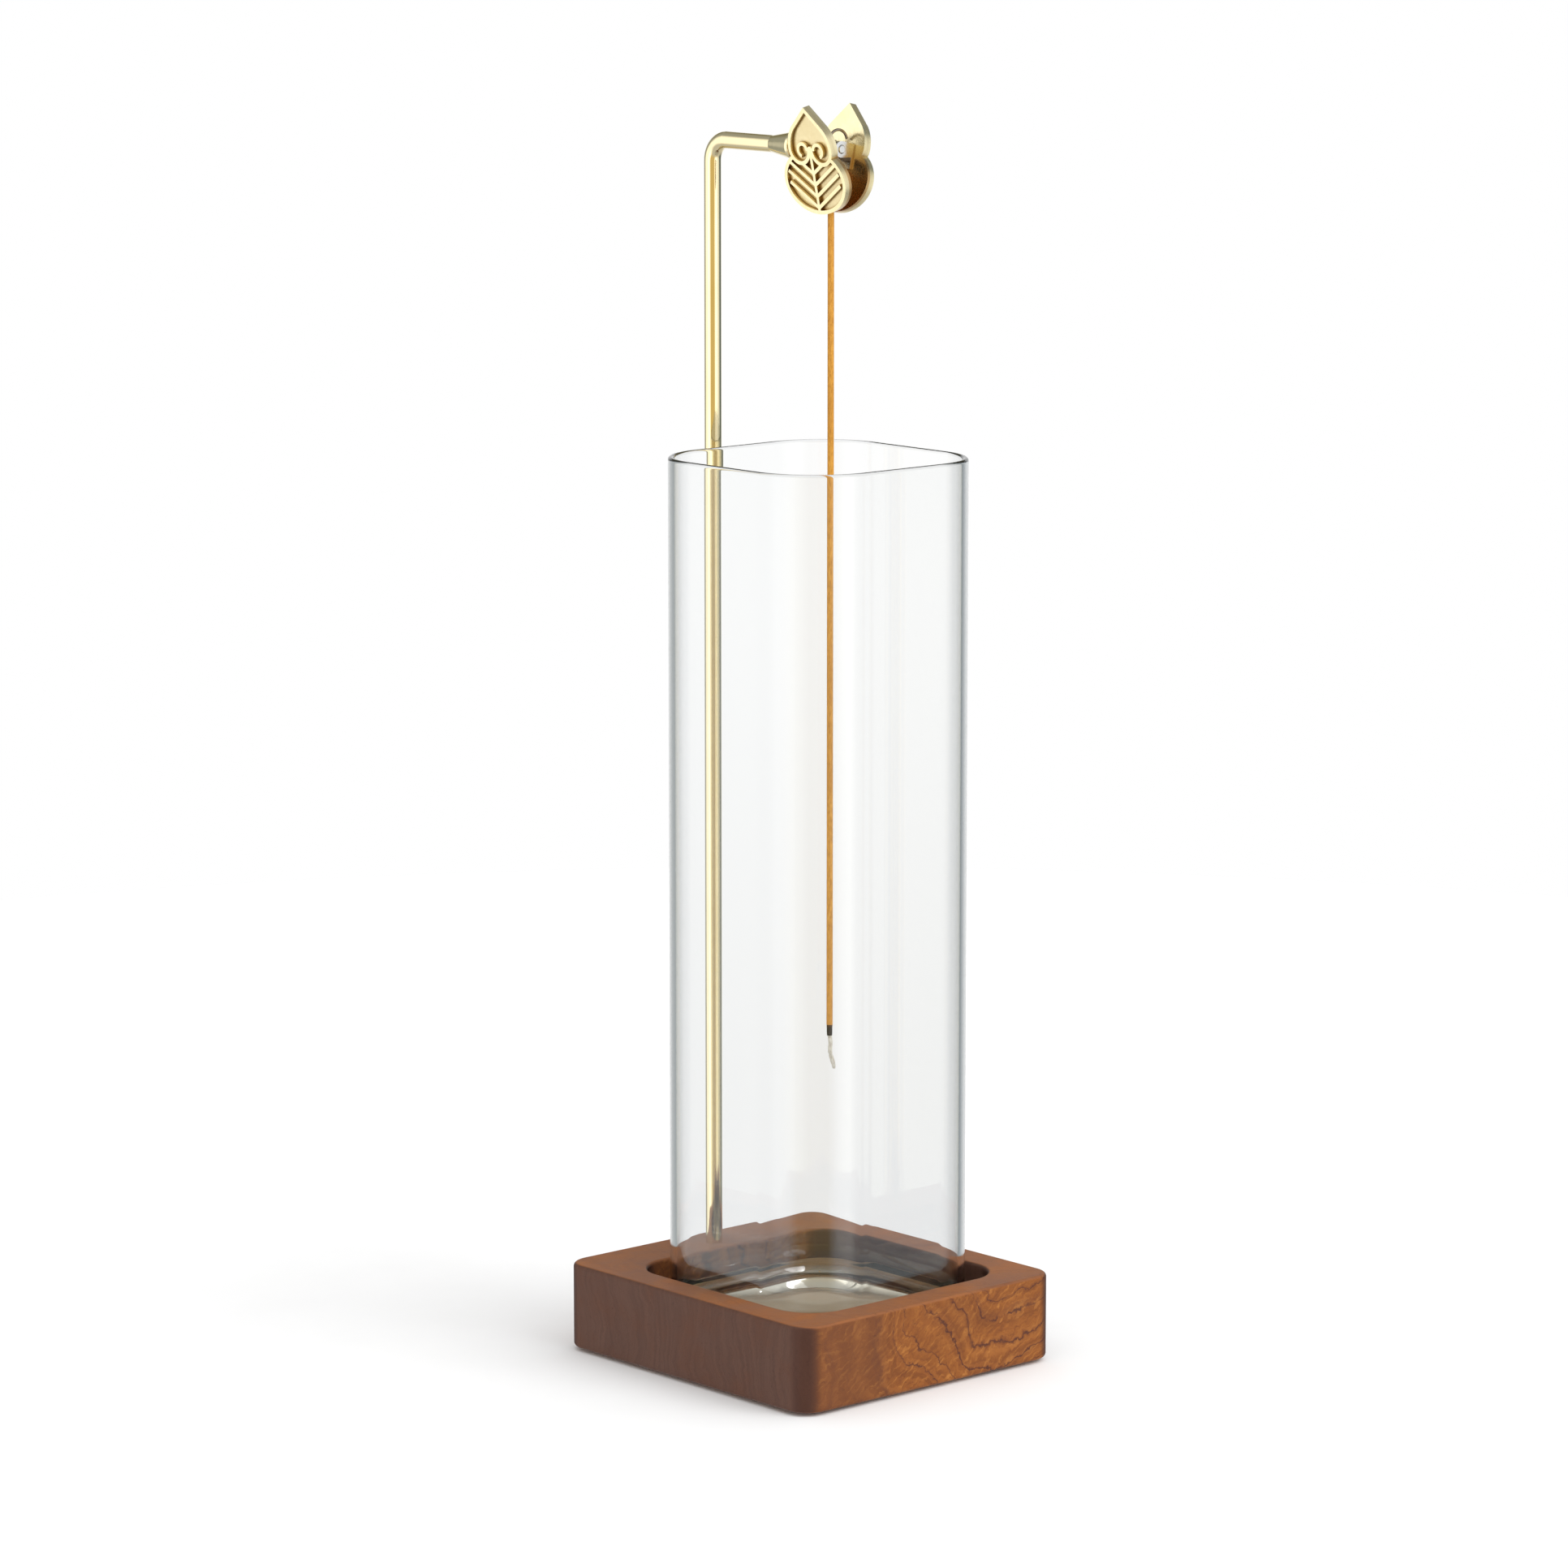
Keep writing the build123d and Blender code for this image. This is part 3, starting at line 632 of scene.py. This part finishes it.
# What stands round the object, by the turn about it: 0 and 1 are behind it, and 0.5 is in front
CARDS = [(0.000, (1.06, 1.06, 1.06)), (0.050, (1.00, 1.00, 1.00)), (0.085, (0.40, 0.42, 0.42)),
         (0.165, (0.34, 0.36, 0.36)), (0.200, (1.10, 1.10, 1.10)), (0.216, (1.42, 1.42, 1.42)),
         (0.300, (1.42, 1.42, 1.42)), (0.340, (2.00, 2.00, 2.00)), (0.385, (1.75, 1.72, 1.66)),
         (0.430, (0.74, 0.57, 0.26)), (0.560, (0.74, 0.57, 0.26)), (0.600, (1.75, 1.72, 1.66)),
         (0.655, (2.00, 2.00, 2.00)), (0.700, (0.95, 0.98, 1.02)), (0.765, (0.90, 0.93, 0.97)),
         (0.790, (0.13, 0.17, 0.20)), (0.890, (0.12, 0.15, 0.17)), (0.930, (0.95, 0.96, 0.97)),
         (1.000, (1.06, 1.06, 1.06))]
# What shows straight through the glass: nearly white from every side, a little greyer past its edges
SEEN_THROUGH = [(0.000, (1.06, 1.06, 1.06)), (0.045, (1.02, 1.02, 1.02)), (0.085, (0.78, 0.80, 0.81)),
                (0.150, (0.80, 0.82, 0.83)), (0.200, (0.98, 0.98, 0.98)), (0.800, (0.98, 0.98, 0.98)),
                (0.850, (0.78, 0.80, 0.81)), (0.900, (0.78, 0.80, 0.81)), (0.940, (0.99, 0.99, 0.99)),
                (1.000, (1.06, 1.06, 1.06))]
WHITE = (1.0, 1.0, 1.0)
BLACK = (0.0, 0.0, 0.0)
HIGH_GREY = (0.38, 0.39, 0.40)          # overhead
LOW_GREY = (0.62, 0.62, 0.62)           # under foot
BEHIND_OLIVE = (0.22, 0.21, 0.14)       # above the horizon behind the object
BELOW_GLASS = (0.96, 0.96, 0.97)        # seen steeply down through the glass
EDGE_GREY = (0.40, 0.43, 0.43)          # inside the glass's edges
BRASS_TINT = (0.72, 0.68, 0.56)         # on metal seen through the glass
WALLS_CROSSED = 3.5                     # more crossings than this mean that the ray met something behind
ON_MATT_INSIDE = (1.50, 1.50, 1.50)     # on the stick and the wood that the glass surrounds
SKY_AXIS = (0.80, 0.20, 0.56)           # the soft light on matt faces comes mostly from here
SUN_PLACE = (0.86, 0.30, 0.80)
SUN_STRENGTH = 0.95
SUN_SPREAD = math.radians(40)


def surroundings(graph, height, ahead, turn):
    """What a reflection shows: upright cards, grey overhead and under foot, and olive high up behind."""
    behind = graph.math("MULTIPLY", graph.smooth(ahead, -0.55, -0.85), graph.smooth(height, 0.24, 0.32))
    cards = graph.ramp(turn, CARDS)
    cards = graph.mix(graph.smooth(height, 0.45, 0.75), cards, HIGH_GREY)
    cards = graph.mix(graph.smooth(height, -0.35, -0.70), cards, LOW_GREY)
    return graph.mix(behind, cards, BEHIND_OLIVE)


def straight_through(graph, height, turn):
    """What shows behind the glass: nearly white, and a little greyer low down."""
    clear = graph.ramp(turn, SEEN_THROUGH)
    clear = graph.mix(graph.smooth(height, -0.13, -0.24, 0.0, 0.09), clear, BLACK)
    return graph.mix(graph.smooth(height, -0.35, -0.70), clear, BELOW_GLASS)


def past_the_glass(graph, kind, cards, clear):
    """The light on a ray that leaves through the glass, by what it met before that."""
    through = kind["Is Transmission Ray"]
    bounced = graph.math("MINIMUM", kind["Glossy Depth"], 1.0)
    unbounced = graph.math("SUBTRACT", 1.0, bounced)
    scattered = graph.math("MINIMUM", kind["Diffuse Depth"], 1.0)
    metal_behind = graph.math("GREATER_THAN", kind["Transmission Depth"], WALLS_CROSSED)
    edges = graph.mix(0.55, cards, EDGE_GREY)
    dimmed = graph.mix(metal_behind, edges, graph.mix(1.0, cards, BRASS_TINT, "MULTIPLY"))
    light = graph.mix(graph.math("MULTIPLY", through, bounced), cards, dimmed)
    light = graph.mix(graph.math("MULTIPLY", through, unbounced), light, clear)
    return graph.mix(graph.math("MULTIPLY", through, scattered), light, ON_MATT_INSIDE)


def studio():
    world = bpy.data.worlds.new("studio")
    world.use_nodes = True
    graph = Graph(world.node_tree)
    way = graph.add("ShaderNodeTexCoord", output="Generated")
    kind = graph.tree.nodes.new("ShaderNodeLightPath").outputs
    front = (math.sin(CAMERA_AZIMUTH), -math.cos(CAMERA_AZIMUTH), 0.0)
    right = (math.cos(CAMERA_AZIMUTH), math.sin(CAMERA_AZIMUTH), 0.0)
    height = graph.parts(way)[2]
    ahead = graph.dot(way, front)
    turn = graph.math("ARCTAN2", graph.dot(way, right), ahead)
    turn = graph.math("ADD", graph.math("DIVIDE", turn, 2 * math.pi), 0.5)
    cards = surroundings(graph, height, ahead, turn)
    light = past_the_glass(graph, kind, cards, straight_through(graph, height, turn))
    soft = graph.smooth(graph.dot(way, SKY_AXIS), -1.0, 1.0, 0.50, 1.15)
    light = graph.mix(kind["Is Diffuse Ray"], light, soft)
    light = graph.mix(kind["Is Camera Ray"], light, WHITE)
    background = graph.add("ShaderNodeBackground", {"Color": light, "Strength": 1.0})
    graph.add("ShaderNodeOutputWorld", {"Surface": background}, output=None)
    bpy.context.scene.world = world


studio()
sun_data = bpy.data.lights.new("key", "SUN")
sun_data.energy = SUN_STRENGTH
sun_data.angle = SUN_SPREAD
sun = bpy.data.objects.new("key", sun_data)
sun.rotation_mode = "QUATERNION"
sun.rotation_quaternion = (-Vector(SUN_PLACE)).to_track_quat("-Z", "Y")
sun.visible_glossy = False
bpy.context.scene.collection.objects.link(sun)

camera_data = bpy.data.cameras.new("camera")
camera_data.lens = CAMERA_LENS
camera_data.sensor_width = CAMERA_SENSOR
camera_data.clip_start, camera_data.clip_end = 0.05, 20.0
camera = bpy.data.objects.new("camera", camera_data)
sideways = CAMERA_DISTANCE * Vector((math.sin(CAMERA_AZIMUTH), -math.cos(CAMERA_AZIMUTH), 0))
camera.location = sideways + Vector((0, 0, CAMERA_HEIGHT))
camera.rotation_mode = "QUATERNION"
camera.rotation_quaternion = (Vector(CAMERA_AIM) - camera.location).to_track_quat("-Z", "Y")
bpy.context.scene.collection.objects.link(camera)
bpy.context.scene.camera = camera
bpy.context.scene.view_settings.view_transform = "Standard"
bpy.context.scene.view_settings.look = "None"
